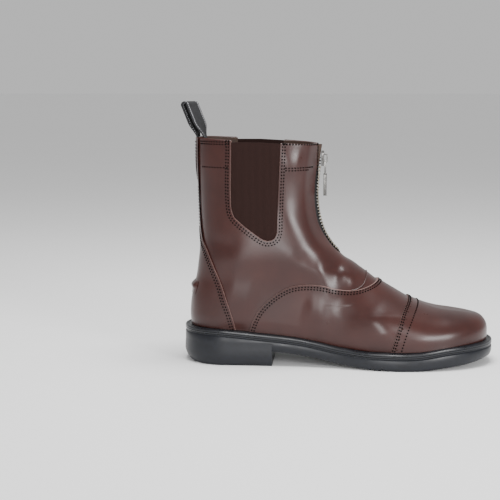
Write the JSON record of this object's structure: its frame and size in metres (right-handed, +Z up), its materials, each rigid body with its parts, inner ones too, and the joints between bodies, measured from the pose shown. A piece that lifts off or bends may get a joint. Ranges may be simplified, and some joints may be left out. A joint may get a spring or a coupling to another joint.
{
  "type": "paddock boot",
  "caption": "Leather paddock boot, right foot: hollow upper with elastic side gores, front zip with pull tab, toe cap, back pull loop, welt and moulded rubber sole with heel.",
  "frame": {"origin": "middle of the heel's flat tread, on the floor", "axes": "+X from heel to toe, +Z up, -Y towards the outer side of the foot"},
  "size_m": [0.2863, 0.1069, 0.24],
  "materials": {
    "leather": "polished brown",
    "rubber": "black satin",
    "lining": "matt brown",
    "elastic": "ribbed dark brown",
    "webbing": "woven black",
    "brass": "antique",
    "metal": "satin"
  },
  "bodies": {
    "boot": {"outsole": "rubber", "welt": "rubber", "insole": "lining", "upper": "leather", "vamp": "leather", "toe_cap": "leather", "counter": "leather", "spur_rest": "leather", "gore_lateral": "elastic", "gore_medial": "elastic", "zip_guard": "leather", "zip_tape": "webbing", "zip_teeth": "brass", "zip_slider": "metal", "pull_loop": "webbing"},
    "zip_tab": {"zip_pull": "metal"}
  },
  "joints": [
    {"name": "pull_swing", "type": "hinge", "parent": "boot", "child": "zip_tab", "pos_m": [0.08706, 0, 0.1859], "axis": [0, -1, 0], "range_deg": [-3, 160]}
  ]
}
